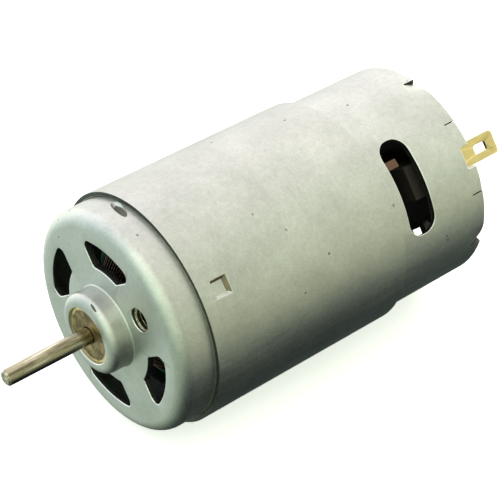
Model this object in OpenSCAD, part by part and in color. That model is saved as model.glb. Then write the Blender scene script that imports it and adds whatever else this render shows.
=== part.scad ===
/* [Case] */
// Outside diameter of the drawn steel can
can_d = 27.7; // [27.4:0.1:28.2]
// Sheet thickness of the can wall
can_wall = 0.8; // [0.7:0.1:1]
// Mounting face to the rear rim
can_len = 46.6; // [46:0.1:47.4]
// Thickness of the front wall
face_t = 1; // [0.8:0.1:1.2]
// Radius of the rounded front edge
nose_r = 1.7; // [1.2:0.1:2.2]
// Diameter of the raised centre boss
boss_d = 10; // [9.4:0.1:10.6]
// Height of the boss above the mounting face
boss_h = 2.9; // [2.5:0.1:3.4]

/* [Flux ring] */
// Outside diameter of the rolled steel ring
ring_d = 29; // [28.8:0.1:29.8]
// Length of the ring
ring_len = 28.2; // [26:0.1:29]
// Mounting face to the front edge of the ring
ring_start = 4.6; // [4:0.1:5.4]

/* [Mounting] */
// Distance between the two screw holes
screw_pitch = 16; // [15.4:0.1:16.6]
// Tapping diameter of the screw holes
screw_d = 2.5; // [2.2:0.1:2.7]

/* [Shaft] */
// Shaft diameter
shaft_d = 2; // [1.9:0.1:2.1]
// Mounting face to the tip of the shaft
shaft_out = 13.9; // [9:0.1:20]

/* [Vents] */
// Circumferential angle of each rear vent slot
slot_angle = 50.6; // [40:0.2:56]
// Width of each rear vent slot along the shaft
slot_w = 4; // [3:0.1:4.4]

/* [Terminals] */
// Length of each terminal lug past the rear rim
lug_len = 4.7; // [4:0.1:6]
// Width of each terminal lug
lug_w = 2.9; // [2.6:0.1:3]

/* [Armature] */
// Diameter over the laminated core
core_d = 19.8; // [19:0.1:20]
// Length of the laminated core
core_len = 24; // [22:0.5:24]

/* [Hidden] */
$fn = 96;

eps = 0.01;
cut = 1;
roll = 45;
half = 180;
third = 120;

can_r = can_d / 2;
can_in = can_r - can_wall;
nose_in = nose_r - can_wall;
nose_c = can_r - nose_r;
boss_r = boss_d / 2;
boss_edge = 1;
boss_root = 0.4;
bush_r = 3.5;

win_out = 10.75;
win_in = 7.5;
win_x = 2.8;
win_y = 4.4;
win_r_out = 0.9;
win_r_in = 0.4;

screw_r = screw_d / 2;
screw_rim = 0.2;
collar_r = 2;
collar_h = 1;

slot_mid = 36.6;
slot_corner = 1.8;
slot_inset = 0.02;
slot_inset_a = 0.3;
slit_len = 1.7;
slit_w = 0.22;
slit_in = 19.1;
slit_out = 50.6;
tab_in_angle = 8;
tab_in_lean = 0.18;
tab_out_angle = 12;
tab_out_leans = [0.8, 0.5, 0.22];
tab_root = 0.3;
tab_short = 0.06;
tab_inset = 0.03;
tab_overlap = 0.35;
notch_angle = 11;
notch_len = 1.3;

stake_angle = 53.6;
stake_z = 3.72;
stake_w = 1.6;
stake_l = 3.2;
stake_depth = 0.62;

ring_r = ring_d / 2;
ring_gap = 0.02;
ring_edge = 0.25;
seam_angle = 205;
seam_w = 0.35;
dimple = 2.2;
dimple_z = 7.52;
dimple_depth = 0.48;
dimple_shallow = 0.1;

magnet_in = 10.35;
magnet_out = can_in - 0.05;
magnet_front = 5.2;
magnet_len = 26.6;
magnet_arc = 130;
clip_t = 0.4;
clip_arc = 44;
clip_front = 8;
clip_len = 20;
clip_leg_w = 1;
clip_leg_end = 36.8;

bush_front = boss_h - 0.3;
bush_back = 3;
bush_chamfer = 0.25;
shaft_r = shaft_d / 2;
run = 0.02;
shaft_back = 47.7;
shaft_chamfer = 0.25;
groove_front = bush_front + 0.1;
groove_w = 0.6;
groove_depth = 0.2;

bell_r = can_in - 0.05;
bell_front = 43.9;
bell_back = 45.4;
bell_taper = 44.6;
bell_chamfer = 0.65;
bell_spigot = 2;
bell_spigot_t = 1;
bell_boss_r = 4.8;
bell_boss_back = 48.5;
bell_lip_r = 2.2;
bell_seat_r = 3;
bell_seat_back = 47.8;
bell_vent_in = 7.1;
bell_vent_out = 10.7;
bell_vent_arc = 64;
bell_rib = 1;
bell_rib_x = 2.35;

brush_z = 40;
brush_axial = 2.9;
brush_side = 2.4;
brush_from = 3.64;
brush_len = 4.6;
guide_gap = 0.06;
tower_in = 4.4;
tower_out = 11.9;
tower_half = 2.1;
tower_front = 37.8;
tongue_x = 11;
lug_t = 0.4;
lug_x = 12.4;
lug_shift = 0.12;
lug_round = 0.4;
lug_hole_w = 1.15;
lug_hole_l = 2;
lug_hole_z = 2.25;
spring_r = 0.9;
spring_wire = 0.14;
spring_turns = 5;

core_r = core_d / 2;
core_front = 6.5;
core_back = core_front + core_len;
tooth_w = 5;
tooth_tip = 1.3;
tooth_arc = 106;
core_hub = 3;
ins_t = 0.4;
ins_in = 0.3;
coil_gap = 0.12;
coil_x0 = 3.25;
coil_x1 = 8.3;
coil_end = 2.3;
spacer_r = 1.9;

comm_r = 3.6;
comm_in = 2.6;
comm_front = 36.6;
comm_back = 43.1;
riser_r = 5;
riser_t = 0.8;
comm_gap = 8;
varistor_front = 34.5;
varistor_t = 1.2;
varistor_r = 6.4;
varistor_in = 3;
washer_r = 2.4;
washer_t = 0.4;

// Shaft direction to the front, screw-hole line on the diagonal.
module place() {
    rotate([90, 0, 0])
        rotate([0, 0, roll])
            children();
}

module tube(outer, inner, front, back) {
    translate([0, 0, -back])
        difference() {
            cylinder(r = outer, h = back - front);
            translate([0, 0, -cut])
                cylinder(r = inner, h = back - front + 2 * cut);
        }
}

module disc(r, front, back) {
    translate([0, 0, -back])
        cylinder(r = r, h = back - front);
}

// A sector of a straight-sided ring, centred on the +X direction.
module arc_block(outer, inner, front, back, angle) {
    rotate([0, 0, -angle / 2])
        rotate_extrude(angle = angle)
            translate([inner, -back])
                square([outer - inner, back - front]);
}

module block(x0, x1, y0, y1, front, back) {
    translate([x0, y0, -back])
        cube([x1 - x0, y1 - y0, back - front]);
}

module both_sides() {
    children();
    rotate([0, 0, half])
        children();
}

module mirrored_y() {
    children();
    mirror([0, 1, 0])
        children();
}

// ---- can ----

module can_outer() {
    rotate_extrude() {
        translate([0, -can_len])
            square([can_r, can_len - nose_r]);
        translate([0, -nose_r - eps])
            square([nose_c, nose_r + eps]);
        intersection() {
            translate([nose_c, -nose_r])
                circle(r = nose_r);
            translate([0, -nose_r])
                square([can_r, nose_r]);
        }
        translate([0, -eps])
            square([boss_r, boss_h - boss_edge + eps]);
        square([boss_r - boss_edge, boss_h]);
        intersection() {
            translate([boss_r - boss_edge, boss_h - boss_edge])
                circle(r = boss_edge);
            square([boss_r, boss_h]);
        }
        difference() {
            translate([boss_r - eps, -eps])
                square([boss_root + eps, boss_root + eps]);
            translate([boss_r + boss_root, boss_root])
                circle(r = boss_root);
        }
    }
}

module can_cavity() {
    rotate_extrude() {
        translate([0, -can_len - cut])
            square([can_in, can_len + cut - nose_r]);
        translate([0, -nose_r - eps])
            square([nose_c, nose_r - face_t + eps]);
        intersection() {
            translate([nose_c, -nose_r])
                circle(r = nose_in);
            translate([0, -nose_r])
                square([can_in, nose_r - face_t]);
        }
    }
}

// One quarter of the front vent pattern, its first corner near +Y.
module vent_window() {
    in_r = win_in + win_r_in;
    out_r = win_out - win_r_out;
    in_a = [win_x + win_r_in, sqrt(in_r * in_r - pow(win_x + win_r_in, 2))];
    in_b = [sqrt(in_r * in_r - pow(win_y + win_r_in, 2)), win_y + win_r_in];
    out_a = [win_x + win_r_out, sqrt(out_r * out_r - pow(win_x + win_r_out, 2))];
    out_b = [sqrt(out_r * out_r - pow(win_y + win_r_out, 2)), win_y + win_r_out];
    far = 2 * win_out;
    intersection() {
        difference() {
            circle(r = out_r);
            circle(r = in_r);
        }
        polygon([[0, 0], in_a, out_a, [far, far], out_b, in_b]);
    }
    intersection() {
        difference() {
            circle(r = in_r + eps);
            circle(r = win_in);
        }
        polygon([[0, 0], far * in_a, far * in_b]);
    }
    intersection() {
        difference() {
            circle(r = win_out);
            circle(r = out_r - eps);
        }
        polygon([[0, 0], far * out_a, far * out_b]);
    }
    polygon([in_a, out_a, [win_x, out_a[1]], [win_x, in_a[1]]]);
    polygon([in_b, out_b, [out_b[0], win_y], [in_b[0], win_y]]);
    for (c = [in_a, in_b])
        translate(c)
            circle(r = win_r_in);
    for (c = [out_a, out_b])
        translate(c)
            circle(r = win_r_out);
}

module face_cuts() {
    translate([0, 0, -nose_r - cut])
        cylinder(r = bush_r, h = nose_r + boss_h + 2 * cut);
    both_sides() {
        mirrored_y()
            translate([0, 0, -face_t - cut / 2])
                linear_extrude(face_t + cut)
                    vent_window();
        translate([screw_pitch / 2, 0, -face_t - collar_h - cut])
            cylinder(r = screw_r, h = face_t + collar_h + 2 * cut);
        translate([screw_pitch / 2, 0, -screw_rim])
            cylinder(r1 = screw_r, r2 = screw_r + 2 * screw_rim, h = 2 * screw_rim);
    }
}

// Vent slot seen from outside: a rounded strip bent round the can.
module vent_slot() {
    corner_angle = slot_corner / can_r * half / PI;
    side = slot_w / 2 - slot_inset;
    middle = slot_w / 2 - slot_corner;
    arc_block(can_r + cut, can_in - cut, slot_mid - side, slot_mid + side, slot_angle - 2 * corner_angle);
    arc_block(can_r + cut, can_in - cut, slot_mid - middle, slot_mid + middle, slot_angle - slot_inset_a);
    for (a = [-1, 1], s = [-1, 1])
        rotate([0, 0, a * (slot_angle / 2 - corner_angle)])
            translate([can_in - cut, 0, -slot_mid + s * (slot_w / 2 - slot_corner)])
                rotate([0, 90, 0])
                    cylinder(r = slot_corner, h = can_wall + 2 * cut);
}

// Rim sector removed where a crimp tab is bent inwards.
module rim_cut(angle, centre, len) {
    rotate([0, 0, centre])
        arc_block(can_r + cut, can_in - cut, can_len - len, can_len + cut, angle);
}

// Tab between a slit and the wall it stays joined to, leaning in towards the shaft.
module crimp_tab(slit, angle, lean) {
    root = -can_len + slit_len + tab_root;
    tip = -can_len + tab_short;
    rotate([0, 0, slit - angle])
        rotate_extrude(angle = angle)
            polygon([
                [can_in + tab_inset, root],
                [can_r - tab_inset, root],
                [can_r - lean, tip],
                [can_in - lean, tip]
            ]);
}

module rim_features() {
    both_sides()
        mirrored_y() {
            rim_cut(tab_in_angle, slit_in - tab_in_angle / 2, slit_len);
            rim_cut(tab_out_angle, slit_out - tab_out_angle / 2, slit_len);
        }
    both_sides()
        rim_cut(notch_angle, 0, notch_len);
}

module crimp_tabs() {
    slit_deg = slit_w / can_r * half / PI;
    steps = len(tab_out_leans);
    step = (tab_out_angle - slit_deg) / steps;
    both_sides()
        mirrored_y() {
            crimp_tab(slit_in - slit_deg, tab_in_angle - slit_deg + tab_overlap, tab_in_lean);
            for (i = [0:steps - 1])
                crimp_tab(slit_out - slit_deg - i * step, step + tab_overlap, tab_out_leans[i]);
        }
}

// Punched gouge, deepest at its straight edge and running out to a point.
module stake_mark() {
    rotate([0, 0, stake_angle])
        translate([can_r - stake_depth, 0, -stake_z])
            rotate([0, 0, asin(stake_depth / stake_l)])
                rotate([0, 90, 0])
                    linear_extrude(stake_depth + cut)
                        polygon([
                            [stake_w / 2, 0],
                            [-stake_w / 2, 0],
                            [-stake_w / 4, stake_l]
                        ]);
}

module can() {
    color([0.68, 0.71, 0.68]) {
        difference() {
            union() {
                difference() {
                    can_outer();
                    can_cavity();
                }
                both_sides()
                    translate([screw_pitch / 2, 0, -face_t - collar_h])
                        cylinder(r = collar_r, h = collar_h + eps);
            }
            face_cuts();
            both_sides() {
                vent_slot();
                stake_mark();
            }
            rim_features();
        }
        crimp_tabs();
    }
}

// ---- fixed parts ----

module ring_dimple() {
    lean = asin((dimple_depth - dimple_shallow) / dimple);
    translate([ring_r, dimple / 2 + dimple_shallow, -dimple_z])
        rotate([0, 0, lean])
            translate([-dimple_depth, -dimple, -dimple / 2])
                cube([2 * dimple_depth, dimple, dimple]);
}

module flux_ring() {
    color([0.72, 0.75, 0.71])
        difference() {
            translate([0, 0, -ring_start - ring_len])
                rotate_extrude()
                    difference() {
                        translate([can_r + ring_gap, 0])
                            square([ring_r - can_r - ring_gap, ring_len]);
                        polygon([
                            [ring_r + cut, -cut],
                            [ring_r + cut, ring_edge + cut],
                            [ring_r - ring_edge - cut, -cut]
                        ]);
                    }
            rotate([0, 0, seam_angle])
                block(can_r - cut, ring_r + cut, -seam_w / 2, seam_w / 2,
                      ring_start - cut, ring_start + ring_len + cut);
            both_sides()
                ring_dimple();
        }
}

module bushing(r, front, back) {
    color([0.60, 0.46, 0.30])
        translate([0, 0, -back])
            rotate_extrude()
                polygon([
                    [shaft_r + run, bush_chamfer],
                    [shaft_r + run + bush_chamfer, 0],
                    [r - bush_chamfer, 0],
                    [r, bush_chamfer],
                    [r, back - front - bush_chamfer],
                    [r - bush_chamfer, back - front],
                    [shaft_r + run + bush_chamfer, back - front],
                    [shaft_r + run, back - front - bush_chamfer]
                ]);
}

module front_bushing() {
    bushing(bush_r - eps, -bush_front, bush_back);
}

module rear_bushing() {
    bushing(bell_seat_r - eps, bell_front, bell_seat_back - run);
}

module magnet(side) {
    color([0.16, 0.16, 0.17])
        rotate([0, 0, side * 90])
            arc_block(magnet_out, magnet_in, magnet_front, magnet_front + magnet_len, magnet_arc);
}

module magnet_clip(turn) {
    inner = magnet_out - clip_t;
    leg_y = 2.65;
    color([0.66, 0.52, 0.42])
        rotate([0, 0, turn]) {
            arc_block(magnet_out - run, inner, clip_front, clip_front + clip_len, clip_arc);
            for (s = [-1, 1])
                rotate([0, 0, s * (clip_arc / 2 - 1)])
                    block(inner - 1.4, inner + eps, -0.2, 0.2, clip_front, clip_front + clip_len);
            intersection() {
                arc_block(magnet_out - run, inner, clip_front, clip_leg_end, clip_arc);
                block(inner - cut, magnet_out, leg_y, leg_y + clip_leg_w, clip_front, clip_leg_end);
            }
        }
}

module tower() {
    block(tower_in, tower_out, -tower_half, tower_half, tower_front, bell_front + eps);
}

module tower_cuts() {
    side = brush_side / 2 + guide_gap;
    axial = brush_axial / 2 + guide_gap;
    block(tower_in - cut, tongue_x + run, -side, side, brush_z - axial, brush_z + axial);
    block(tongue_x - run, tongue_x + lug_t + run, -lug_w / 2 - run, lug_w / 2 + run,
          brush_z - axial, bell_front + eps);
    block(tongue_x - run, tower_out + cut, -lug_w / 2 - run, lug_w / 2 + run,
          bell_front - 1.3 - run, bell_front + eps);
}

module end_bell() {
    rib_half = bell_rib / 2;
    color([0.13, 0.13, 0.14])
        difference() {
            union() {
                disc(bell_r, bell_front, bell_taper);
                translate([0, 0, -bell_back])
                    cylinder(r1 = bell_r - bell_chamfer, r2 = bell_r, h = bell_back - bell_taper + eps);
                tube(bell_r, bell_r - bell_spigot_t, bell_front - bell_spigot, bell_front + eps);
                disc(bell_boss_r, bell_back - eps, bell_boss_back);
                both_sides()
                    tower();
            }
            disc(bell_seat_r, bell_front - cut, bell_seat_back);
            disc(bell_lip_r, bell_front - cut, bell_boss_back + cut);
            for (turn = [90, -90])
                difference() {
                    rotate([0, 0, turn])
                        arc_block(bell_vent_out, bell_vent_in, bell_front - cut,
                                  bell_back + cut, bell_vent_arc);
                    for (s = [-1, 1])
                        block(s * bell_rib_x - rib_half, s * bell_rib_x + rib_half,
                              -can_r, can_r, bell_front - 2 * cut, bell_back + 2 * cut);
                }
            both_sides() {
                tower_cuts();
                block(lug_x - run, can_r + cut, lug_shift - lug_w / 2 - 0.1, lug_shift + lug_w / 2 + 0.1,
                      bell_front - bell_spigot - cut, bell_back + cut);
            }
        }
}

module terminal() {
    leg_front = bell_front - 1.3;
    tip = can_len + lug_len;
    flat = lug_w / 2 - lug_round;
    color([0.80, 0.68, 0.32])
        difference() {
            union() {
                block(lug_x, lug_x + lug_t, lug_shift - lug_w / 2, lug_shift + lug_w / 2,
                      leg_front, tip - lug_round);
                block(lug_x, lug_x + lug_t, lug_shift - flat, lug_shift + flat,
                      leg_front, tip);
                for (s = [-1, 1])
                    translate([lug_x, lug_shift + s * flat, -tip + lug_round])
                        rotate([0, 90, 0])
                            cylinder(r = lug_round, h = lug_t);
                block(tongue_x, lug_x + eps, -lug_w / 2 + 0.1, lug_w / 2 - 0.1, leg_front, leg_front + lug_t);
                block(tongue_x, tongue_x + lug_t, -lug_w / 2 + 0.1, lug_w / 2 - 0.1,
                      brush_z - brush_axial / 2, leg_front + lug_t);
            }
            for (s = [-1, 1], e = [-1, 1])
                translate([
                    lug_x - cut,
                    lug_shift + s * (lug_hole_w / 2 - 0.3),
                    -can_len - lug_hole_z + e * (lug_hole_l / 2 - 0.3)
                ])
                    rotate([0, 90, 0])
                        cylinder(r = 0.3, h = lug_t + 2 * cut);
            block(lug_x - cut, lug_x + lug_t + cut, lug_shift - lug_hole_w / 2,
                  lug_shift + lug_hole_w / 2, can_len + lug_hole_z - lug_hole_l / 2 + 0.3,
                  can_len + lug_hole_z + lug_hole_l / 2 - 0.3);
            block(lug_x - cut, lug_x + lug_t + cut, lug_shift - lug_hole_w / 2 + 0.3,
                  lug_shift + lug_hole_w / 2 - 0.3, can_len + lug_hole_z - lug_hole_l / 2,
                  can_len + lug_hole_z + lug_hole_l / 2);
        }
}

module brush_spring() {
    start = brush_from + brush_len + spring_wire + 0.1;
    pitch = (tongue_x - spring_wire - 0.1 - start) / (spring_turns - 1);
    color([0.75, 0.75, 0.72])
        for (i = [0:spring_turns - 1])
            translate([start + i * pitch, 0, -brush_z])
                rotate([0, 90, 0])
                    rotate_extrude()
                        translate([spring_r, 0])
                            circle(r = spring_wire, $fn = 24);
}

module carbon_brush() {
    color([0.10, 0.10, 0.11])
        difference() {
            block(brush_from - 0.4, brush_from + brush_len, -brush_side / 2, brush_side / 2,
                  brush_z - brush_axial / 2, brush_z + brush_axial / 2);
            disc(comm_r + 0.03, comm_front, comm_back);
        }
}

// ---- rotor ----

module shaft() {
    length = shaft_out + shaft_back;
    groove = shaft_back + groove_front - groove_w;
    color([0.72, 0.71, 0.68])
        translate([0, 0, -shaft_back])
            rotate_extrude()
                polygon([
                    [0, 0],
                    [shaft_r - shaft_chamfer, 0],
                    [shaft_r, shaft_chamfer],
                    [shaft_r, groove],
                    [shaft_r - groove_depth, groove],
                    [shaft_r - groove_depth, groove + groove_w],
                    [shaft_r, groove + groove_w],
                    [shaft_r, length - shaft_chamfer],
                    [shaft_r - shaft_chamfer, length],
                    [0, length]
                ]);
}

module star(r, tip, neck, hub, bore) {
    difference() {
        union() {
            for (a = [0:2])
                rotate([0, 0, a * third]) {
                    translate([0, -neck / 2])
                        square([r - tip / 2, neck]);
                    intersection() {
                        difference() {
                            circle(r = r);
                            circle(r = r - tip);
                        }
                        polygon([
                            [0, 0],
                            [2 * r * cos(tooth_arc / 2), -2 * r * sin(tooth_arc / 2)],
                            [3 * r, 0],
                            [2 * r * cos(tooth_arc / 2), 2 * r * sin(tooth_arc / 2)]
                        ]);
                    }
                }
            circle(r = hub);
        }
        circle(r = bore);
    }
}

module armature_core() {
    color([0.45, 0.46, 0.48])
        translate([0, 0, -core_back])
            linear_extrude(core_len)
                star(core_r, tooth_tip, tooth_w, core_hub, shaft_r);
}

module insulator(front) {
    color([0.20, 0.42, 0.30])
        translate([0, 0, -front - ins_t])
            linear_extrude(ins_t)
                star(core_r - ins_in, tooth_tip - ins_in, tooth_w, core_hub, shaft_r + eps);
}

module insulator_front() {
    insulator(core_front - ins_t);
}

module insulator_rear() {
    insulator(core_back);
}

// Winding round one tooth: two slot sides and two rounded end turns.
module coil(turn) {
    y0 = tooth_w / 2 + coil_gap;
    front = core_front - ins_t - run;
    back = core_back + ins_t + run;
    color([0.62, 0.30, 0.16])
        rotate([0, 0, turn]) {
            mirrored_y()
                translate([0, 0, -back])
                    linear_extrude(back - front)
                        polygon([[coil_x0, y0], [coil_x1 - 0.2, y0], [6.7, 4.95], [4.5, 6.4], [coil_x0, 5.1]]);
            for (z = [-front, -back])
                intersection() {
                    union() {
                        block(coil_x0, coil_x1 - 0.2, -y0, y0, -z - coil_end, -z + coil_end);
                        for (s = [-1, 1])
                            translate([coil_x0, s * y0, z])
                                rotate([0, 90, 0])
                                    cylinder(r = coil_end, h = coil_x1 - coil_x0 - 0.2);
                    }
                    translate([0, 0, z < -core_front ? z - coil_end : z])
                        cylinder(r = magnet_in - 1.5, h = coil_end);
                }
        }
}

module spacer_front() {
    color([0.86, 0.84, 0.78])
        tube(spacer_r, shaft_r + eps, bush_back + washer_t + 0.2, core_front - ins_t - run);
}

module spacer_rear() {
    color([0.86, 0.84, 0.78])
        tube(spacer_r, shaft_r + eps, core_back + ins_t + run, varistor_front - run);
}

module commutator_hub() {
    color([0.35, 0.16, 0.10]) {
        tube(comm_in - eps, shaft_r + eps, varistor_front, comm_back);
        tube(varistor_in - eps, shaft_r + eps, varistor_front, comm_front - riser_t - run);
    }
}

module segment(turn) {
    color([0.80, 0.50, 0.32])
        rotate([0, 0, turn]) {
            arc_block(comm_r, comm_in, comm_front - eps, comm_back, third - comm_gap);
            arc_block(riser_r, comm_in, comm_front - riser_t, comm_front, third / 4);
        }
}

module varistor_ring() {
    color([0.30, 0.30, 0.33])
        tube(varistor_r, varistor_in, varistor_front, varistor_front + varistor_t);
}

module thrust_washer_front() {
    color([0.90, 0.88, 0.82])
        tube(washer_r, shaft_r + run, bush_back + 0.1, bush_back + 0.1 + washer_t);
}

module thrust_washer_rear() {
    color([0.90, 0.88, 0.82])
        tube(washer_r, shaft_r + run, comm_back + 0.1, comm_back + 0.1 + washer_t);
}

place() {
    can();
    flux_ring();
    front_bushing();
    magnet(1);  // magnet_a
    magnet(-1);  // magnet_b
    magnet_clip(0);  // magnet_clip_a
    magnet_clip(half);  // magnet_clip_b
    end_bell();
    rear_bushing();
    terminal();  // terminal_a
    rotate([0, 0, half]) terminal();  // terminal_b
    brush_spring();  // brush_spring_a
    rotate([0, 0, half]) brush_spring();  // brush_spring_b
    carbon_brush();  // carbon_brush_a
    rotate([0, 0, half]) carbon_brush();  // carbon_brush_b
    shaft();
    armature_core();
    insulator_front();
    insulator_rear();
    coil(0);  // coil_a
    coil(third);  // coil_b
    coil(2 * third);  // coil_c
    spacer_front();
    spacer_rear();
    commutator_hub();
    segment(third / 2);  // segment_a
    segment(third / 2 + third);  // segment_b
    segment(third / 2 + 2 * third);  // segment_c
    varistor_ring();
    thrust_washer_front();
    thrust_washer_rear();
}
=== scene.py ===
import math
import random

import bmesh
import bpy
from mathutils import Matrix, Vector


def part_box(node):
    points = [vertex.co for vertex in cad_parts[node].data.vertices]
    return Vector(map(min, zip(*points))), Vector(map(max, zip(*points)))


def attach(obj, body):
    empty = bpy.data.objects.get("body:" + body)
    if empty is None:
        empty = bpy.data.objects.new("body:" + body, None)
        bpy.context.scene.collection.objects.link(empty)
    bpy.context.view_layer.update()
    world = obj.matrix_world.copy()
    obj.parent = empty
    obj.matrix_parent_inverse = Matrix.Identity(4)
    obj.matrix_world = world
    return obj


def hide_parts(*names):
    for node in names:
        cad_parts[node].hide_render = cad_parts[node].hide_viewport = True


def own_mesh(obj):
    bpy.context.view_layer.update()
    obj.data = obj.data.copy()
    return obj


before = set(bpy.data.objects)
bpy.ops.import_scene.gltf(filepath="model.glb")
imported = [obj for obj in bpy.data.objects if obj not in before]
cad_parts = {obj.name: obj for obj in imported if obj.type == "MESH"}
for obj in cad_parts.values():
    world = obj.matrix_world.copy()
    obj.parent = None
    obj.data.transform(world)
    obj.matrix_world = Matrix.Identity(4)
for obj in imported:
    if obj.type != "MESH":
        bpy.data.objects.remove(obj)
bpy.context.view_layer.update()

MM = 0.001
PLACE = Matrix.Rotation(math.pi / 2, 4, "X") @ Matrix.Rotation(math.pi / 4, 4, "Z") @ Matrix.Scale(MM, 4)
SEGMENTS = 256

# ---- sizes in mm, in the part's own frame: Z towards the shaft tip, 0 at the mounting face ----
case_low, case_high = (Vector(v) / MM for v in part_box("can"))
CAN_R = case_high.x
CAN_WALL = 0.8
CAN_IN = CAN_R - CAN_WALL
CAN_LEN = case_high.y
BOSS_H = -case_low.y
BOSS_R = 5.0
NOSE_R = 1.7
NOSE_C = CAN_R - NOSE_R
FACE_T = 1.0
BUSH_R = 3.5
SCREW_X = 8.0
SCREW_MAJOR = 1.46
COLLAR_R = 2.05
COLLAR_DEPTH = 2.0
SLOT_DEPTH = 36.6
SLIT_DEPTH = 44.9
CRIMP_DEPTH = 44.6
CRIMP_RUN = 1.9
# each rim tab: angle of its slit from the terminal, how far round it is pushed in, and how deep
RIM_TABS = ((19.2, 7.5, 0.1), (50.5, 13.0, 0.65))
BRUSH_DEPTH = 40
ring_low, ring_high = (Vector(v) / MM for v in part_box("flux_ring"))
RING_R = ring_high.x
RING_START = ring_low.y
RING_END = ring_high.y


# ---- mesh building, in mm, Z towards the shaft tip ----

def polar(r, angle, z=0.0):
    turn = math.radians(angle)
    return Vector((r * math.cos(turn), r * math.sin(turn), z))


def solid(name, verts, faces):
    mesh = bpy.data.meshes.new(name)
    mesh.from_pydata([tuple(v) for v in verts], [], faces)
    made = bmesh.new()
    made.from_mesh(mesh)
    bmesh.ops.recalc_face_normals(made, faces=made.faces)
    made.to_mesh(mesh)
    made.free()
    return mesh


def revolved(name, profile, segments=SEGMENTS, start=0.0):
    """A closed (radius, z) outline turned about the shaft axis."""
    verts = [polar(r, start + 360 * i / segments, z) for i in range(segments) for r, z in profile]
    n = len(profile)
    faces = []
    for i in range(segments):
        here, there = i * n, (i + 1) % segments * n
        faces += [(here + j, here + (j + 1) % n, there + (j + 1) % n, there + j) for j in range(n)]
    return solid(name, verts, faces)


def arc(centre, radius, first, last, steps):
    cx, cy = centre
    turns = [math.radians(first + (last - first) * i / steps) for i in range(steps + 1)]
    return [(cx + radius * math.cos(turn), cy + radius * math.sin(turn)) for turn in turns]


def prism(name, outline, low, high, turn=None):
    """An (x, y) outline raised from z low to z high, then placed by turn."""
    n = len(outline)
    verts = [Vector((x, y, z)) for z in (low, high) for x, y in outline]
    if turn is not None:
        verts = [turn @ v for v in verts]
    faces = [tuple(range(n)), tuple(range(n, 2 * n))]
    faces += [(i, (i + 1) % n, n + (i + 1) % n, n + i) for i in range(n)]
    return solid(name, verts, faces)


def funnel(name, bottom, rim, reach):
    """A pocket cutter: the floor points, and the rim points pushed on outwards past the surface."""
    n = len(rim)
    top = [low + (high - low) * reach for low, high in zip(bottom, rim)]
    faces = [tuple(range(n)), tuple(range(n, 2 * n))]
    faces += [(i, (i + 1) % n, n + i) for i in range(n)]
    faces += [((i + 1) % n, n + (i + 1) % n, n + i) for i in range(n)]
    return solid(name, bottom + top, faces)


def spun(mesh, angle):
    """A copy of a mesh turned about the shaft axis."""
    copy = mesh.copy()
    copy.transform(Matrix.Rotation(math.radians(angle), 4, "Z"))
    return copy


def mirrored(mesh):
    copy = mesh.copy()
    copy.transform(Matrix.Scale(-1, 4, (0, 1, 0)))
    copy.flip_normals()
    return copy


def scratch(mesh):
    """An object for a mesh that is still being worked on."""
    made = bpy.data.objects.new(mesh.name, mesh)
    bpy.context.scene.collection.objects.link(made)
    return made


def baked(obj):
    """The object's mesh with its modifiers applied; the object itself goes."""
    graph = bpy.context.evaluated_depsgraph_get()
    mesh = bpy.data.meshes.new_from_object(obj.evaluated_get(graph))
    bpy.data.objects.remove(obj)
    return mesh


def joined(mesh, others, kind="DIFFERENCE", index=1):
    """Cuts others out of mesh, or adds them; faces that come from a cutter take material slot index."""
    body = scratch(mesh)
    tools = []
    for other in others:
        for p in other.polygons:
            p.material_index = index
        tool = scratch(other)
        tool.hide_render = True
        tools.append(tool)
        m = body.modifiers.new(tool.name, "BOOLEAN")
        m.object = tool
        m.operation = kind
        m.solver = "EXACT"
        m.material_mode = "INDEX"
    result = baked(body)
    for tool in tools:
        bpy.data.objects.remove(tool)
    return result


def eased(mesh, width, segments=2, angle=32.0, material=-1):
    """Rounds every edge sharper than angle."""
    body = scratch(mesh)
    m = body.modifiers.new("edge", "BEVEL")
    m.width = width
    m.segments = segments
    m.limit_method = "ANGLE"
    m.angle_limit = math.radians(angle)
    m.use_clamp_overlap = False
    m.material = material
    return baked(body)


def finished(name, mesh, body, materials, replaced=(), smooth=40.0):
    """Puts a finished mesh into the row frame as a piece of the object."""
    mesh.transform(PLACE)
    mesh.name = name
    kinds = [min(p.material_index, len(materials) - 1) for p in mesh.polygons]
    mesh.materials.clear()
    for m in materials:
        mesh.materials.append(m)
    for p, kind in zip(mesh.polygons, kinds):
        p.material_index = kind
    mesh.shade_smooth()
    mesh.set_sharp_from_angle(angle=math.radians(smooth))
    made = bpy.data.objects.new(name, mesh)
    bpy.context.scene.collection.objects.link(made)
    m = made.modifiers.new("even_normals", "WEIGHTED_NORMAL")
    m.keep_sharp = True
    m.weight = 60
    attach(made, body)
    if replaced:
        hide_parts(*replaced)
    return made


# ---- materials ----

def new_material(name):
    made = bpy.data.materials.new(name)
    made.use_nodes = True
    made.node_tree.nodes.clear()
    return made, made.node_tree.nodes, made.node_tree.links


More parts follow.
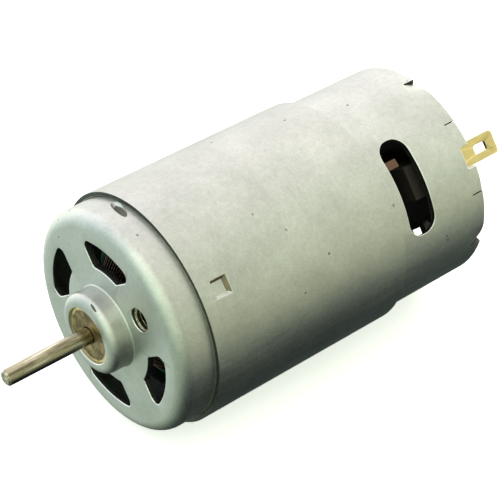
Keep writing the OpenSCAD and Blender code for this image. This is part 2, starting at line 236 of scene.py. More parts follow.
class Graph:
    """Small helper that wires procedural textures, measured in millimetres, to one principled shader."""

    def __init__(self, name):
        self.material, self.nodes, self.links = new_material(name)
        self.out = self.nodes.new("ShaderNodeOutputMaterial")
        self.shader = self.nodes.new("ShaderNodeBsdfPrincipled")
        self.links.new(self.shader.outputs[0], self.out.inputs[0])
        self.coord = self.nodes.new("ShaderNodeTexCoord")
        self.height = None

    def place(self, scale=(1, 1, 1)):
        m = self.nodes.new("ShaderNodeMapping")
        m.inputs["Scale"].default_value = [s / MM for s in scale]
        self.links.new(self.coord.outputs["Object"], m.inputs["Vector"])
        return m.outputs[0]

    def noise(self, scale, detail=4.0, rough=0.55, stretch=(1, 1, 1)):
        n = self.nodes.new("ShaderNodeTexNoise")
        n.inputs["Scale"].default_value = scale
        n.inputs["Detail"].default_value = detail
        n.inputs["Roughness"].default_value = rough
        self.links.new(self.place(stretch), n.inputs["Vector"])
        return n.outputs["Fac"]

    def cells(self, scale):
        n = self.nodes.new("ShaderNodeTexVoronoi")
        n.inputs["Scale"].default_value = scale
        self.links.new(self.place(), n.inputs["Vector"])
        return n.outputs["Distance"]

    def ramp(self, source, stops, smooth=False):
        n = self.nodes.new("ShaderNodeValToRGB")
        n.color_ramp.interpolation = "EASE" if smooth else "LINEAR"
        while len(n.color_ramp.elements) < len(stops):
            n.color_ramp.elements.new(0.5)
        for e, (at, value) in zip(n.color_ramp.elements, stops):
            e.position = at
            e.color = (*value, 1) if hasattr(value, "__len__") else (value, value, value, 1)
        self.links.new(source, n.inputs[0])
        return n.outputs[0]

    def mix(self, a, b, factor, kind="MIX"):
        n = self.nodes.new("ShaderNodeMix")
        n.data_type = "RGBA"
        n.blend_type = kind
        for socket, value in ((n.inputs[6], a), (n.inputs[7], b), (n.inputs[0], factor)):
            if isinstance(value, bpy.types.NodeSocket):
                self.links.new(value, socket)
            elif hasattr(value, "__len__"):
                socket.default_value = (*value, 1)
            else:
                socket.default_value = value if socket == n.inputs[0] else (value, value, value, 1)
        return n.outputs[2]

    def maths(self, kind, a, b=0.0):
        n = self.nodes.new("ShaderNodeMath")
        n.operation = kind
        for socket, value in ((n.inputs[0], a), (n.inputs[1], b)):
            if isinstance(value, bpy.types.NodeSocket):
                self.links.new(value, socket)
            else:
                socket.default_value = value
        return n.outputs[0]

    def span(self, source, low, high):
        n = self.nodes.new("ShaderNodeMapRange")
        n.inputs["From Min"].default_value = 0.25
        n.inputs["From Max"].default_value = 0.75
        n.inputs["To Min"].default_value = low
        n.inputs["To Max"].default_value = high
        self.links.new(source, n.inputs["Value"])
        return n.outputs[0]

    def bump(self, source, depth, strength=1.0):
        n = self.nodes.new("ShaderNodeBump")
        n.inputs["Strength"].default_value = strength
        n.inputs["Distance"].default_value = depth * MM
        self.links.new(source, n.inputs["Height"])
        if self.height is not None:
            self.links.new(self.height, n.inputs["Normal"])
        self.height = n.outputs[0]
        return self

    def colour(self, source):
        if isinstance(source, bpy.types.NodeSocket):
            self.links.new(source, self.shader.inputs["Base Color"])
        else:
            self.shader.inputs["Base Color"].default_value = (*source, 1)
        return self

    def rough(self, source):
        if isinstance(source, bpy.types.NodeSocket):
            self.links.new(source, self.shader.inputs["Roughness"])
        else:
            self.shader.inputs["Roughness"].default_value = source
        return self

    def set(self, **values):
        for key, value in values.items():
            self.shader.inputs[key.replace("_", " ")].default_value = value
        return self

    def done(self):
        if self.height is not None:
            self.links.new(self.height, self.shader.inputs["Normal"])
        return self.material


def plated(name, tint, rough):
    """Satin zinc-plated sheet: soft blotches, fine grain, drawing lines and a few dark specks."""
    g = Graph(name)
    g.set(Metallic=1.0)
    blotch = g.noise(0.16, 5, 0.6)
    grain = g.noise(5.5, 4, 0.7)
    lines = g.noise(3.2, 3, 0.6, stretch=(1, 0.04, 1))
    speck = g.ramp(g.cells(0.4), [(0.0, 0.3), (0.05, 0.45), (0.085, 1.0)])
    gate = g.ramp(g.noise(0.35, 2, 0.5), [(0.5, 1.0), (0.55, 0.0)])
    dark = tuple(c * 0.86 for c in tint)
    light = tuple(min(1, c * 1.1) for c in tint)
    base = g.mix(dark, light, g.span(blotch, 0.0, 1.0))
    base = g.mix(base, g.span(grain, 0.86, 1.12), 1.0, "MULTIPLY")
    base = g.mix(base, g.span(g.noise(1.5, 3, 0.7), 0.92, 1.08), 1.0, "MULTIPLY")
    base = g.mix(base, g.mix(speck, 1.0, gate), 1.0, "MULTIPLY")
    g.colour(base)
    g.rough(g.maths("ADD", g.span(grain, rough - 0.05, rough + 0.05), g.span(lines, -0.04, 0.04)))
    g.bump(grain, 0.006, 0.5).bump(lines, 0.004, 0.4).bump(g.noise(0.45, 3), 0.03, 0.35)
    return g.done()


def turned(name, tint, rough, stretch=(1, 1, 1), grain_scale=6.0, variation=0.1, depth=0.004):
    """Machined or rolled metal with a directional grain."""
    g = Graph(name)
    g.set(Metallic=1.0)
    grain = g.noise(grain_scale, 4, 0.65, stretch=stretch)
    wide = g.noise(0.5, 4, 0.6)
    base = g.mix(tuple(c * (1 - variation) for c in tint), tuple(min(1, c * (1 + variation)) for c in tint),
                 g.span(wide, 0, 1))
    base = g.mix(base, g.span(grain, 1 - variation, 1 + variation), 1.0, "MULTIPLY")
    g.colour(base)
    g.rough(g.span(grain, rough * 0.8, rough * 1.25))
    g.bump(grain, depth, 0.6)
    return g.done()


def dull(name, tint, rough, grain_scale=4.0, variation=0.15, depth=0.01, specks=None):
    """Moulded, fired or pressed non-metal."""
    g = Graph(name)
    g.set(Metallic=0.0)
    grain = g.noise(grain_scale, 5, 0.6)
    wide = g.noise(0.3, 4, 0.6)
    base = g.mix(tuple(c * (1 - variation) for c in tint), tuple(min(1, c * (1 + variation)) for c in tint),
                 g.span(wide, 0, 1))
    if specks:
        base = g.mix(base, specks, g.ramp(g.cells(grain_scale * 0.8), [(0.05, 1.0), (0.16, 0.0)]))
    g.colour(base)
    g.rough(g.span(grain, rough * 0.88, min(1, rough * 1.12)))
    g.bump(grain, depth, 0.6)
    return g.done()


def bronze():
    """Oil-soaked sintered bronze: brown and porous, with a painted golden highlight on its high outer rim."""
    g = Graph("sintered_bronze_look")
    g.set(Metallic=1.0)
    pores = g.cells(9.0)
    stain = g.noise(0.9, 5, 0.65)
    base = g.mix((0.16, 0.115, 0.05), (0.42, 0.31, 0.15), g.ramp(stain, [(0.4, 0.0), (0.68, 1.0)], True))
    base = g.mix(base, g.ramp(pores, [(0.02, 0.45), (0.1, 1.0)]), 1.0, "MULTIPLY")
    reach = g.nodes.new("ShaderNodeVectorMath")
    reach.operation = "LENGTH"
    g.links.new(g.place((1, 0, 1)), reach.inputs[0])
    wobble = g.maths("ADD", reach.outputs["Value"], g.span(g.noise(1.2, 3), -0.12, 0.12))
    # painted highlight: a golden band on the outer rim, where the rounded edge catches the light
    edge = g.ramp(g.maths("DIVIDE", wobble, 4.0), [(0.76, 0.0), (0.83, 1.0)])
    g.colour(g.mix(base, (0.95, 0.74, 0.36), edge))
    g.rough(g.span(stain, 0.55, 0.42))
    g.bump(pores, 0.008, 0.4).bump(stain, 0.006, 0.3)
    return g.done()


def ground_steel():
    """Ground shaft steel, streaked dark and light along its length as a painted reflection."""
    g = Graph("ground_steel_look")
    g.set(Metallic=1.0)
    # painted reflection: long dark and light streaks in the base colour, also varying the roughness
    painted_reflection_streak = g.noise(1.9, 5, 0.65, stretch=(1, 0.07, 1))
    rings = g.noise(5.0, 3, 0.6, stretch=(0.2, 3.0, 0.2))
    stops = [(0.36, (0.15, 0.125, 0.075)), (0.52, (0.4, 0.36, 0.25)), (0.64, (0.68, 0.63, 0.5))]
    base = g.ramp(painted_reflection_streak, stops, True)
    g.colour(g.mix(base, g.span(rings, 0.9, 1.1), 1.0, "MULTIPLY"))
    g.rough(g.span(painted_reflection_streak, 0.3, 0.16))
    g.bump(rings, 0.002, 0.4)
    return g.done()


def enamelled():
    """Varnished copper wire, darkened in places by the baked varnish, and kept very dark overall as painted
    shade for the inside of the can.
    """
    g = Graph("enamelled_copper_look")
    g.set(Metallic=0.85, Coat_Weight=0.6, Coat_Roughness=0.25)
    stain = g.noise(0.7, 4, 0.6)
    fine = g.noise(7.0, 3, 0.6)
    # very dark base colours: the enamel's own red-brown, darkened further as painted shade inside the can
    base = g.mix((0.04, 0.014, 0.009), (0.19, 0.065, 0.032), g.ramp(stain, [(0.35, 0.0), (0.68, 1.0)], True))
    g.colour(g.mix(base, g.span(fine, 0.8, 1.15), 1.0, "MULTIPLY"))
    g.rough(g.span(fine, 0.26, 0.42))
    g.bump(fine, 0.006, 0.5)
    return g.done()


ZINC = (0.52, 0.535, 0.5)
looks = {
    "zinc_plated_steel": plated("zinc_plated_steel_look", ZINC, 0.42),
    "zinc_plated_ring": plated("zinc_plated_ring_look", (0.5, 0.515, 0.475), 0.4),
    "cut_steel": turned("cut_steel_look", (0.72, 0.73, 0.7), 0.3, grain_scale=8.0),
    # near-black bare steel: painted shade on the cut walls of the can's openings and a painted shadow line on
    # the flux ring's end faces
    "punched_steel": turned("painted_shade_steel_look", (0.07, 0.072, 0.065), 0.5, grain_scale=8.0, variation=0.3),
    # brown steel: painted shade on the pocket's upper and rear walls
    "pocket_wall": turned("pocket_wall_shade_look", (0.17, 0.145, 0.1), 0.5, grain_scale=5.0, variation=0.3),
    # dark dull steel with lighter specks: painted shade in the hollows of the stake and the nick
    "scuffed_steel": dull("painted_shade_dent_look", (0.07, 0.068, 0.05), 0.6, 3.0, variation=0.6,
                          specks=(0.2, 0.2, 0.17)),
    "sintered_bronze": bronze(),
    "ferrite": dull("ferrite_look", (0.035, 0.034, 0.037), 0.6, 6.0),
    "spring_bronze": turned("spring_bronze_look", (0.13, 0.08, 0.055), 0.45, stretch=(1, 0.1, 1)),
    "black_nylon": dull("black_nylon_look", (0.02, 0.015, 0.012), 0.58, 5.0),
    "terminal_brass": turned("terminal_brass_look", (0.62, 0.5, 0.22), 0.3, stretch=(1, 0.1, 1)),
    "spring_steel": turned("spring_steel_look", (0.55, 0.54, 0.52), 0.25),
    "carbon": dull("carbon_look", (0.03, 0.03, 0.032), 0.5, 12.0, specks=(0.3, 0.16, 0.09)),
    "ground_steel": ground_steel(),
    "lamination_steel": turned("lamination_steel_look", (0.3, 0.31, 0.33), 0.38, stretch=(0.2, 2.0, 0.2)),
    "green_fibre": dull("green_fibre_look", (0.03, 0.17, 0.1), 0.6, 5.0),
    "enamelled_copper": enamelled(),
    "natural_nylon": dull("natural_nylon_look", (0.75, 0.72, 0.62), 0.45, 3.0),
    "phenolic": dull("phenolic_look", (0.09, 0.03, 0.018), 0.4, 7.0),
    "commutator_copper": turned("commutator_copper_look", (0.68, 0.35, 0.2), 0.3, stretch=(0.2, 3.0, 0.2)),
    "solder": turned("solder_look", (0.62, 0.62, 0.6), 0.3, grain_scale=3.0, variation=0.12, depth=0.02),
    "varistor_ceramic": dull("varistor_ceramic_look", (0.06, 0.062, 0.07), 0.55, 6.0),
}

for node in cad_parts.values():
    slot = node.data.materials[0].name.split(".")[0]
    if slot in looks:
        node.data.materials[0] = looks[slot]

# ---- can ----

boss_edge = 1.0
can_outline = (
    [(BUSH_R, -FACE_T - 0.3), (BUSH_R, BOSS_H)]
    + arc((BOSS_R - boss_edge, BOSS_H - boss_edge), boss_edge, 90, 0, 8)
    + arc((BOSS_R + 0.22, 0.22), 0.22, 180, 270, 5)
    + [(8.0, 0), (10.5, 0)]
    + arc((NOSE_C, -NOSE_R), NOSE_R, 90, 0, 12)
    + [(CAN_R, -d) for d in (10, 20, 32, 41, 43, 44.2, 44.7, 45.1, 45.5, 45.9, 46.3)]
    + [(CAN_R, -CAN_LEN), (CAN_IN, -CAN_LEN)]
    + [(CAN_IN, -d) for d in (46.3, 45.9, 45.5, 45.1, 44.7, 44.2, 43, 41, 32, 20, 10)]
    + arc((NOSE_C, -NOSE_R), NOSE_R - CAN_WALL, 0, 90, 6)
    + [(BUSH_R + 1.2, -FACE_T), (BUSH_R + 1.2, -FACE_T - 0.3)]
)


def bearing(point):
    return math.degrees(math.atan2(point[1], point[0]))


def window_outline():
    """One front vent opening in the first quadrant, with rounded corners."""
    inner, outer, x0, y0 = 7.5, 10.75, 2.8, 4.4
    in_round, out_round = 0.45, 0.9
    ri, ro = inner + in_round, outer - out_round
    a_in = (x0 + in_round, math.sqrt(ri ** 2 - (x0 + in_round) ** 2))
    b_in = (math.sqrt(ri ** 2 - (y0 + in_round) ** 2), y0 + in_round)
    a_out = (x0 + out_round, math.sqrt(ro ** 2 - (x0 + out_round) ** 2))
    b_out = (math.sqrt(ro ** 2 - (y0 + out_round) ** 2), y0 + out_round)
    points = arc(b_out, out_round, -90, bearing(b_out), 8)
    points += arc((0, 0), outer, bearing(b_out), bearing(a_out), 14)[1:-1]
    points += arc(a_out, out_round, bearing(a_out), 180, 8)
    points += arc(a_in, in_round, 180, 180 + bearing(a_in), 6)
    points += arc((0, 0), inner, bearing(a_in), bearing(b_in), 12)[1:-1]
    points += arc(b_in, in_round, 180 + bearing(b_in), 270, 6)
    return points


def rounded_box(half_w, half_h, radius, steps=8):
    points = []
    for cx, cy, first in ((1, 1, 0), (-1, 1, 90), (-1, -1, 180), (1, -1, 270)):
        points += arc((cx * (half_w - radius), cy * (half_h - radius)), radius, first, first + 90, steps)
    return points


RADIAL = Matrix.Rotation(math.pi / 2, 4, "Y") @ Matrix.Rotation(math.pi / 2, 4, "Z")


def radial_cut(name, outline, low, high, depth, angle=0.0):
    """A prism along the radius at angle: outline x runs round the can, outline y towards the shaft tip."""
    turn = Matrix.Rotation(math.radians(angle), 4, "Z") @ Matrix.Translation((0, 0, -depth)) @ RADIAL
    return prism(name, outline, low, high, turn)


def both(meshes):
    return meshes + [spun(m, 180) for m in meshes]


def rim_slit(angle):
    half_width, half_length = 0.07, 1.2
    outline = rounded_box(half_width, half_length, 0.05, 2)
    return radial_cut("slit", outline, CAN_IN - 1, CAN_R + 1, SLIT_DEPTH + half_length, angle)


def scoop(name, centre, angle, slant, tilt, sizes):
    """An ellipsoid cutter, tilted to dig in at one end.

    Its half sizes run along the radius, round the axis and along the axis.
    """
    made = bmesh.new()
    bmesh.ops.create_icosphere(made, subdivisions=4, radius=1)
    mesh = bpy.data.meshes.new(name)
    made.to_mesh(mesh)
    made.free()
    turn = Matrix.Rotation(math.radians(angle), 4, "Z") @ Matrix.Rotation(math.radians(slant), 4, "X")
    mesh.transform(Matrix.Translation(centre) @ turn @ Matrix.Rotation(math.radians(tilt), 4, "Z")
                   @ Matrix.Diagonal((*sizes, 1)))
    return mesh


window = prism("window", window_outline(), -FACE_T - 1, 1)
windows = [window, mirrored(window)]
hole = prism("hole", arc((SCREW_X, 0), SCREW_MAJOR, 0, 360, 40)[:-1], -3.2, 1)
collar_in = SCREW_MAJOR - 0.2
collar_top = -FACE_T + 0.3
collar = revolved("collar", [(collar_in, -COLLAR_DEPTH), (collar_in, collar_top), (COLLAR_R, collar_top),
                             (COLLAR_R, -COLLAR_DEPTH)], 48)
collar.transform(Matrix.Translation((SCREW_X, 0, 0)))
slot_cut = radial_cut("slot", rounded_box(5.92, 2.0, 1.8, 10), CAN_IN - 2, CAN_R + 2, SLOT_DEPTH)
notch = radial_cut("notch", rounded_box(1.33, 1.3, 0.25, 4), CAN_IN - 1, CAN_R + 1, CAN_LEN)

# the stake and the nick are painted dark as shade in their hollows; the stake only where it is deepest
STAKE_SHALLOW = 0.26
stake = scoop("stake", polar(CAN_R + 0.06, 61.6, -3.9), 61.6, -13, -9.5, (0.46, 2.5, 0.6))
nick = scoop("nick", polar(BOSS_R - 0.1, 36, BOSS_H - 0.33), 36, -8, 0, (0.18, 1.1, 0.2))

shell = revolved("shell", can_outline, start=180 / SEGMENTS)
for look in ("zinc_plated_steel", "punched_steel", "cut_steel", "scuffed_steel"):
    shell.materials.append(looks[look])
shell = joined(shell, both([collar]), "UNION", 0)
# the cut walls of these openings, and of the rim slits below, take slot 1: near-black steel painted as shade
shell = joined(shell, both(windows + [hole, slot_cut, notch]))
shell = eased(shell, 0.11, 3, material=2)
shell = joined(shell, both([rim_slit(side * slit) for slit, _, _ in RIM_TABS for side in (1, -1)]))
# stake and nick faces take slot 3, dark steel painted as shade
shell = joined(shell, both([stake]) + [nick], index=3)
for p in shell.polygons:
    if p.material_index == 3 and p.center.z < -1 and CAN_R - p.center.xy.length < STAKE_SHALLOW:
        p.material_index = 0


def crimped(mesh):
    """Pushes the rim tabs in: each is deepest at its slit and fades towards the terminal."""
    for v in mesh.vertices:
        depth = -v.co.z
        r = math.hypot(v.co.x, v.co.y)
        if depth < CRIMP_DEPTH or r < CAN_IN - 0.3:
            continue
        angle = math.degrees(math.atan2(v.co.y, v.co.x))
        if abs(angle) > 90:
            angle -= math.copysign(180, angle)
        off = abs(angle)
        down = min(1, max(0, (depth - CRIMP_DEPTH) / CRIMP_RUN))
        push = 0.0
        for slit, reach, most in RIM_TABS:
            if slit - reach < off < slit:
                push = most * ((off - slit + reach) / reach) ** 1.6 * down ** 1.3
        scale = (r - push) / r
        v.co.x *= scale
        v.co.y *= scale
    return mesh


finished("can_shell", crimped(shell), "case",
         [looks["zinc_plated_steel"], looks["punched_steel"], looks["cut_steel"], looks["scuffed_steel"]],
         ["can"])

# ---- flux ring ----

ring_outline = [(CAN_R + 0.02, -RING_START - 0.16), (CAN_R + 0.16, -RING_START), (RING_R, -RING_START)]
ring_outline += [(RING_R, -RING_END), (CAN_R + 0.16, -RING_END), (CAN_R + 0.02, -RING_END + 0.16)]


def ring_pocket():
    rim = [polar(RING_R, 4.7, -6.45), polar(RING_R, 4.6, -8.65), polar(RING_R, -4.4, -8.6),
           polar(RING_R, -3.8, -6.45)]
    deep = RING_R - 0.42
    floor = [polar(deep, 3.5, -6.6), polar(deep, 3.5, -8.15), polar(deep + 0.1, -3.0, -8.15),
             polar(deep + 0.1, -2.8, -6.6)]
    return funnel("pocket", floor, rim, 2.2)


band = revolved("band", ring_outline)
seam = prism("seam", [(CAN_R - 1, -0.17), (RING_R + 1, -0.17), (RING_R + 1, 0.17), (CAN_R - 1, 0.17)],
             -RING_END - 1, -RING_START + 1, Matrix.Rotation(math.radians(205), 4, "Z"))
band = joined(band, both([ring_pocket()]) + [seam], index=0)
band = eased(band, 0.07, 2)
for look in ("zinc_plated_ring", "punched_steel", "pocket_wall"):
    band.materials.append(looks[look])
for p in band.polygons:
    # the ring's end faces take slot 1: near-black steel as a painted shadow line along the ring's edges
    painted_shadow_end = abs(p.normal.z) > 0.9 and (p.center.z > -RING_START - 0.1 or p.center.z < -RING_END + 0.1)
    in_pocket = -8.7 < p.center.z < -6.3 and CAN_R + 0.1 < p.center.xy.length < RING_R - 0.06
    angle = (math.degrees(math.atan2(p.center.y, p.center.x)) + 90) % 180 - 90
    # slot 2 paints shade on the pocket's upper wall and its rear wall
    shaded = angle > 3.5 or (p.center.z < -8.1 and angle > -2.9)
    p.material_index = 1 if painted_shadow_end else 2 if in_pocket and shaded else 0
finished("flux_ring_band", band, "case",
         [looks["zinc_plated_ring"], looks["punched_steel"], looks["pocket_wall"]], ["flux_ring"])

# ---- front bushing, screw threads ----

bush_outline = ([(1.02, -2.9), (1.02, BOSS_H - 0.38)] + arc((1.1, BOSS_H - 0.38), 0.08, 180, 90, 4)
                + [(2.2, BOSS_H - 0.32), (2.9, BOSS_H - 0.3)]
                + arc((BUSH_R - 0.21, BOSS_H - 0.5), 0.2, 90, 0, 5)
                + [(BUSH_R - 0.01, -2.7), (BUSH_R - 0.25, -2.95), (1.25, -2.95)])
finished("front_bushing_sleeve", revolved("bush", bush_outline, 96), "case",
         [looks["sintered_bronze"]], ["front_bushing"])


def thread(low, high, pitch=0.5, steps=36):
    """The ridge of an internal M3 thread, from z low to z high."""
    verts, faces = [], []
    count = int((high - low) / pitch * steps)
    shape = [(SCREW_MAJOR + 0.05, -0.24), (SCREW_MAJOR + 0.05, 0.24), (1.24, 0.05), (1.24, -0.05)]
    for i in range(count + 1):
        z = low + pitch * i / steps
        for r, dz in shape:
            q = polar(r, 360 * i / steps)
            verts.append(Vector((q.x + SCREW_X, q.y, z + dz)))
    for i in range(count):
        for j in range(4):
            a, b = i * 4 + j, i * 4 + (j + 1) % 4
            faces.append((a, b, b + 4, a + 4))
    faces += [(0, 1, 2, 3), tuple(count * 4 + j for j in range(4))]
    return solid("thread", verts, faces)


for name, angle in (("screw_thread_a", 0), ("screw_thread_b", 180)):
    finished(name, spun(thread(-1.85, -0.3), angle), "case", [looks["ground_steel"]])

# ---- windings: loops of wire round each tooth, with the leads and solder at the commutator ----

WIRE_R = 0.17
COIL_MID = -18.5
COIL_HALF = 12.42


def swept(name, points, radius, sides=8, loop=False):
    """A round wire through the points, closed at both ends or joined into a loop."""
    n = len(points)
    verts, faces = [], []
    first = (points[1] - points[0]).normalized()
    side = first.orthogonal().normalized()
    for i, point in enumerate(points):
        if loop:
            ahead = (points[(i + 1) % n] - points[i - 1]).normalized()
        else:
            ahead = (points[min(i + 1, n - 1)] - points[max(i - 1, 0)]).normalized()
        side = (side - ahead * side.dot(ahead)).normalized()
        other = ahead.cross(side)
        for j in range(sides):
            turn = 2 * math.pi * j / sides
            verts.append(point + (side * math.cos(turn) + other * math.sin(turn)) * radius)
    for i in range(n if loop else n - 1):
        a, b = i * sides, (i + 1) % n * sides
        faces += [(a + j, a + (j + 1) % sides, b + (j + 1) % sides, b + j) for j in range(sides)]
    if not loop:
        faces += [tuple(range(sides)), tuple(range((n - 1) * sides, n * sides))]
    return solid(name, verts, faces)


def merged(name, meshes):
    made = bmesh.new()
    for mesh in meshes:
        made.from_mesh(mesh)
    mesh = bpy.data.meshes.new(name)
    made.to_mesh(mesh)
    made.free()
    return mesh


def slot_limit(x):
    """How far from the tooth's centre the winding reaches at distance x from the shaft."""
    if x < 4.5:
        return 5.1 + (x - 3.25) * 1.04
    if x < 6.7:
        return 6.4 - (x - 4.5) * 0.659
    return 4.95 - (x - 6.7) * 1.664


def wire_loop(x, half_width, rise, lean, steps=14):
    """One turn of wire: two straight slot sides and two rounded ends, leaning by lean along the tooth."""
    points = []
    for end in (1, -1):
        for i in range(steps + 1):
            turn = math.pi * i / steps
            across, along = math.cos(turn), math.sin(turn)
            y = end * half_width * math.copysign(abs(across) ** 0.75, across)
            points.append(Vector((x + lean * y / half_width, y,
                                  COIL_MID + end * (COIL_HALF + rise * abs(along) ** 0.75))))
    return points


def winding(name, seed):
    """Two layers of turns round one tooth, over a solid body that stands for the turns inside."""
    draw = random.Random(seed)
    least = 2.8
    meshes = []
    for layer in range(2):
        x = 3.42 + 0.18 * layer
        while x < 7.95 - 0.12 * layer:
            width = slot_limit(x) - WIRE_R - 0.36 * layer + draw.uniform(-0.05, 0.0)
            rise = min(2.1, 0.9 + 0.55 * (width - least)) - 0.3 * layer + draw.uniform(-0.06, 0.0)
            if width > least:
                turn = wire_loop(x, width, rise, draw.uniform(-0.07, 0.07))
                meshes.append(swept("turn", turn, WIRE_R, loop=True))
            x += 0.37
    rings = []
    for x in (3.4, 4.5, 5.6, 6.7, 7.5):
        limit = slot_limit(x)
        rings.append(wire_loop(x, limit - 0.75, min(1.3, 0.45 + 0.4 * (limit - 3.2)), 0.0))
    n = len(rings[0])
    faces = [(i * n + j, i * n + (j + 1) % n, (i + 1) * n + (j + 1) % n, (i + 1) * n + j)
             for i in range(len(rings) - 1) for j in range(n)]
    faces += [tuple(range(n)), tuple(range((len(rings) - 1) * n, len(rings) * n))]
    meshes.append(solid("inner_turns", [p for ring in rings for p in ring], faces))
    return merged(name, meshes)


for i, letter in enumerate("abc"):
    wound = spun(winding("winding", 11 + i), 120 * i)
    finished(f"winding_{letter}", wound, "rotor", [looks["enamelled_copper"]],
             [f"coil_{letter}"], 60)


def eased_path(points, steps=6):
    """A smooth curve through the points."""
    ends = [points[0] * 2 - points[1]] + list(points) + [points[-1] * 2 - points[-2]]
    path = []
    for i in range(1, len(ends) - 2):
        a, b, c, d = ends[i - 1:i + 3]
        for k in range(steps):
            t = k / steps
            path.append(0.5 * (2 * b + (c - a) * t + (2 * a - 5 * b + 4 * c - d) * t * t
                               + (3 * b - a - 3 * c + d) * t ** 3))
    path.append(points[-1])
    return path


def lead(angle, side):
    """A wire end from a winding, round the edge of the varistor to its commutator hook."""
    route = [polar(5.4, angle + side * 38, -31.6), polar(6.5, angle + side * 26, -33.2),
             polar(6.75, angle + side * 15, -34.6), polar(6.7, angle + side * 8, -35.8),
             polar(5.4, angle + side * 5, -36.3), polar(4.3, angle + side * 4, -36.25)]
    return swept("lead", eased_path(route), WIRE_R)


def solder(angle, seed):
    """A lump of solder over the commutator hook."""
    made = bmesh.new()
    bmesh.ops.create_icosphere(made, subdivisions=4, radius=0.8)
    draw = random.Random(seed)
    swell = [(Vector((draw.uniform(-1, 1), draw.uniform(-1, 1), draw.uniform(-1, 1))).normalized(),
              draw.uniform(0.05, 0.16)) for _ in range(7)]
    for v in made.verts:
        along = v.co.normalized()
        v.co *= 1 + sum(size * max(0, along.dot(axis)) ** 3 for axis, size in swell)
        v.co = Vector((v.co.x * 0.8, v.co.y * 0.95, v.co.z * 0.55)) + Vector((4.55, 0, -36.2))
    mesh = bpy.data.meshes.new("solder")
    made.to_mesh(mesh)
    made.free()
    return spun(mesh, angle)


for i, letter in enumerate("abc"):
    leads = merged("leads", [lead(120 * i, side) for side in (-1, 1)])
    finished(f"lead_wires_{letter}", leads, "rotor", [looks["enamelled_copper"]],
             smooth=60)
    finished(f"solder_{letter}", solder(120 * i, 31 + i), "rotor", [looks["solder"]],
             smooth=80)

# ---- brush springs ----

SPRING_FROM, SPRING_TO, SPRING_R, SPRING_WIRE = 8.24, 11.0, 0.9, 0.14


def brush_spring():
    """A compression spring along X, with a closed turn at each end."""
    points = []
    turns, steps = 6.5, 28
    low, high = SPRING_FROM + SPRING_WIRE, SPRING_TO - SPRING_WIRE
    count = int(turns * steps)
    for i in range(count + 1):
        t = i / count
        along = min(1, max(0, (t * turns - 0.9) / (turns - 1.8)))
        end_turn = 0.1 * (min(1, t * turns / 0.9) - 1 + max(0, (t * turns - turns + 0.9) / 0.9))
        turn = 2 * math.pi * turns * t
        points.append(Vector((low + 0.1 + (high - low - 0.2) * along + end_turn,
                              SPRING_R * math.cos(turn), -BRUSH_DEPTH + SPRING_R * math.sin(turn))))
    return swept("spring", points, SPRING_WIRE)


for letter, angle in (("a", 0), ("b", 180)):
    spring = finished(f"coil_spring_{letter}", spun(brush_spring(), angle), "case",
                      [looks["spring_steel"]], [f"brush_spring_{letter}"], 80)
    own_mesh(spring)

# ---- carried-over nodes: a small radius on every edge, apart from the turned shaft's ----

EDGE_WIDTH = 0.04
EDGE_WIDTHS = {
    "end_bell": 0.12, "magnet_a": 0.12, "magnet_b": 0.12, "varistor_ring": 0.1, "commutator_hub": 0.06,
    "terminal_a": 0.05, "terminal_b": 0.05, "carbon_brush_a": 0.08, "carbon_brush_b": 0.08,
    "rear_bushing": 0.1,
}
ALREADY_ROUND = ("shaft",)
for name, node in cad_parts.items():
    if name in ALREADY_ROUND:
        continue
    weld = node.modifiers.new("weld", "WELD")
    weld.merge_threshold = 0.002 * MM
    bevel = node.modifiers.new("edge", "BEVEL")
    bevel.width = EDGE_WIDTHS.get(name, EDGE_WIDTH) * MM
    bevel.segments = 2
    bevel.limit_method = "ANGLE"
    bevel.angle_limit = math.radians(35)
    bevel.use_clamp_overlap = True
    bevel.harden_normals = False
    even = node.modifiers.new("even_normals", "WEIGHTED_NORMAL")
    even.weight = 60

# ---- floor ----

floor_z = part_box("flux_ring")[0].z
floor_mesh = bpy.data.meshes.new("floor")
FLOOR_REACH = 4
floor_corners = [(-1, -1), (1, -1), (1, 1), (-1, 1)]
floor_mesh.from_pydata([(FLOOR_REACH * x, FLOOR_REACH * y, floor_z) for x, y in floor_corners], [],
                       [(0, 1, 2, 3)])
floor = bpy.data.objects.new("floor", floor_mesh)
bpy.context.scene.collection.objects.link(floor)
g = Graph("floor_paper")
g.colour(g.mix((0.9, 0.9, 0.9), (0.94, 0.94, 0.94), g.noise(0.02, 3)))
g.rough(0.9)
g.set(Specular_IOR_Level=0.0, Emission_Color=(1, 1, 1, 1), Emission_Strength=0.46)
floor_mesh.materials.append(g.done())
floor.visible_glossy = False
floor.visible_diffuse = False

# ---- light: one broad dome of paper, brightest at the upper left, darkest under the motor's right side ----

world = bpy.data.worlds.new("studio")
bpy.context.scene.world = world
world.use_nodes = True
nodes, links = world.node_tree.nodes, world.node_tree.links
background = nodes["Background"]
coord = nodes.new("ShaderNodeTexCoord")


def dome_ramp(axis, stops):
    """A colour that depends on how far a direction lies along axis, from -1 to 1."""
    aim = nodes.new("ShaderNodeVectorMath")
    aim.operation = "DOT_PRODUCT"
    aim.inputs[1].default_value = Vector(axis).normalized()
    links.new(coord.outputs["Generated"], aim.inputs[0])
    spread = nodes.new("ShaderNodeMapRange")
    spread.inputs["From Min"].default_value = -1
    spread.inputs["From Max"].default_value = 1
    links.new(aim.outputs["Value"], spread.inputs["Value"])
    ramp = nodes.new("ShaderNodeValToRGB")
    while len(ramp.color_ramp.elements) < len(stops):
        ramp.color_ramp.elements.new(0.5)
    for element, (t, tone) in zip(ramp.color_ramp.elements, stops):
        element.position = (t + 1) / 2
        element.color = (*tone, 1)
    links.new(spread.outputs[0], ramp.inputs[0])
    return ramp.outputs[0]


def blend(first, second, kind="MULTIPLY", factor=1.0):
    n = nodes.new("ShaderNodeMix")
    n.data_type = "RGBA"
    n.blend_type = kind
    for socket, value in ((n.inputs[6], first), (n.inputs[7], second), (n.inputs[0], factor)):
        if isinstance(value, bpy.types.NodeSocket):
            links.new(value, socket)
        else:
            socket.default_value = value
    return n.outputs[2]


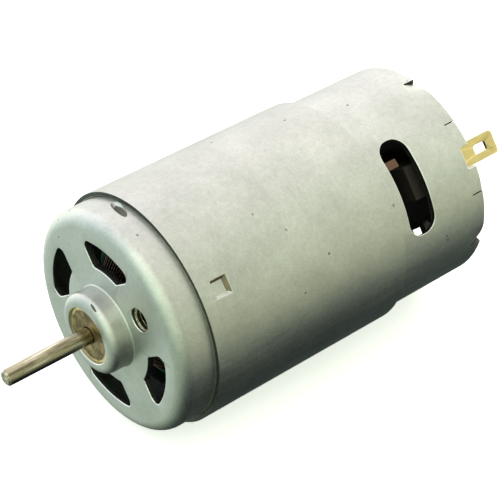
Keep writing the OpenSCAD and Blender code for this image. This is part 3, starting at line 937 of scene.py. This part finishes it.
sky = dome_ramp((-0.643, 0.0, 0.766), [
    (-1.0, (0.02, 0.03, 0.045)), (-0.9, (0.06, 0.07, 0.08)), (-0.72, (0.36, 0.39, 0.3)),
    (-0.5, (0.6, 0.64, 0.44)), (-0.2, (0.74, 0.79, 0.62)), (0.1, (0.81, 0.86, 0.71)),
    (0.4, (0.91, 0.94, 0.82)), (0.65, (1.08, 1.08, 0.99)), (0.8, (1.32, 1.29, 1.23)),
    (1.0, (1.6, 1.56, 1.56))])
under = dome_ramp((0.0, 0.5, -0.85), [(0.5, (1, 1, 1)), (0.7, (0.5, 0.55, 0.6)), (0.92, (0.06, 0.09, 0.13))])
left = dome_ramp((-1.0, 0.0, -0.3), [(0.35, (1, 1, 1)), (0.6, (1.2, 1.17, 1.23)), (0.85, (1.5, 1.46, 1.62)),
                                      (0.97, (2.4, 2.36, 2.5))])
length = dome_ramp((0.0, 1.0, 0.0), [
    (-0.6, (0.77, 0.9, 0.95)), (0.1, (0.97, 0.97, 0.97)), (0.38, (0.9, 0.9, 0.9)), (0.46, (0.94, 0.94, 0.94)),
    (0.52, (1, 1, 1)), (0.6, (1.45, 1.42, 1.45)), (0.7, (1.8, 1.76, 1.8))])
front_high = dome_ramp((0.4, -0.6, 0.7), [
    (0.45, (1, 1, 1)), (0.7, (1.45, 1.42, 1.36)), (0.95, (2.3, 2.2, 2.0))])
light = blend(blend(blend(blend(sky, under), left), length), front_high)
BACKDROP = (0.98, 0.98, 0.98, 1)
light_path = nodes.new("ShaderNodeLightPath")
seen = blend(light, BACKDROP, "MIX", light_path.outputs["Is Camera Ray"])
links.new(seen, background.inputs["Color"])
background.inputs["Strength"].default_value = 1.0

# ---- camera ----

camera_data = bpy.data.cameras.new("photo_camera")
camera_data.sensor_width = 36
camera_data.lens = 128.25
camera = bpy.data.objects.new("photo_camera", camera_data)
bpy.context.scene.collection.objects.link(camera)
right = Vector((0.6349, 0.7687, 0.0779))
ahead = Vector((-0.5206, 0.5001, -0.6920)).normalized()
up = right.cross(ahead).normalized()
right = ahead.cross(up).normalized()
turn = Matrix((right, up, -ahead)).transposed().to_4x4()
camera.matrix_world = Matrix.Translation(Vector((110.44, -85.10, 147.06)) * MM) @ turn
camera_data.clip_start = 0.01
camera_data.clip_end = 20
bpy.context.scene.camera = camera
bpy.context.scene.view_settings.view_transform = "Standard"
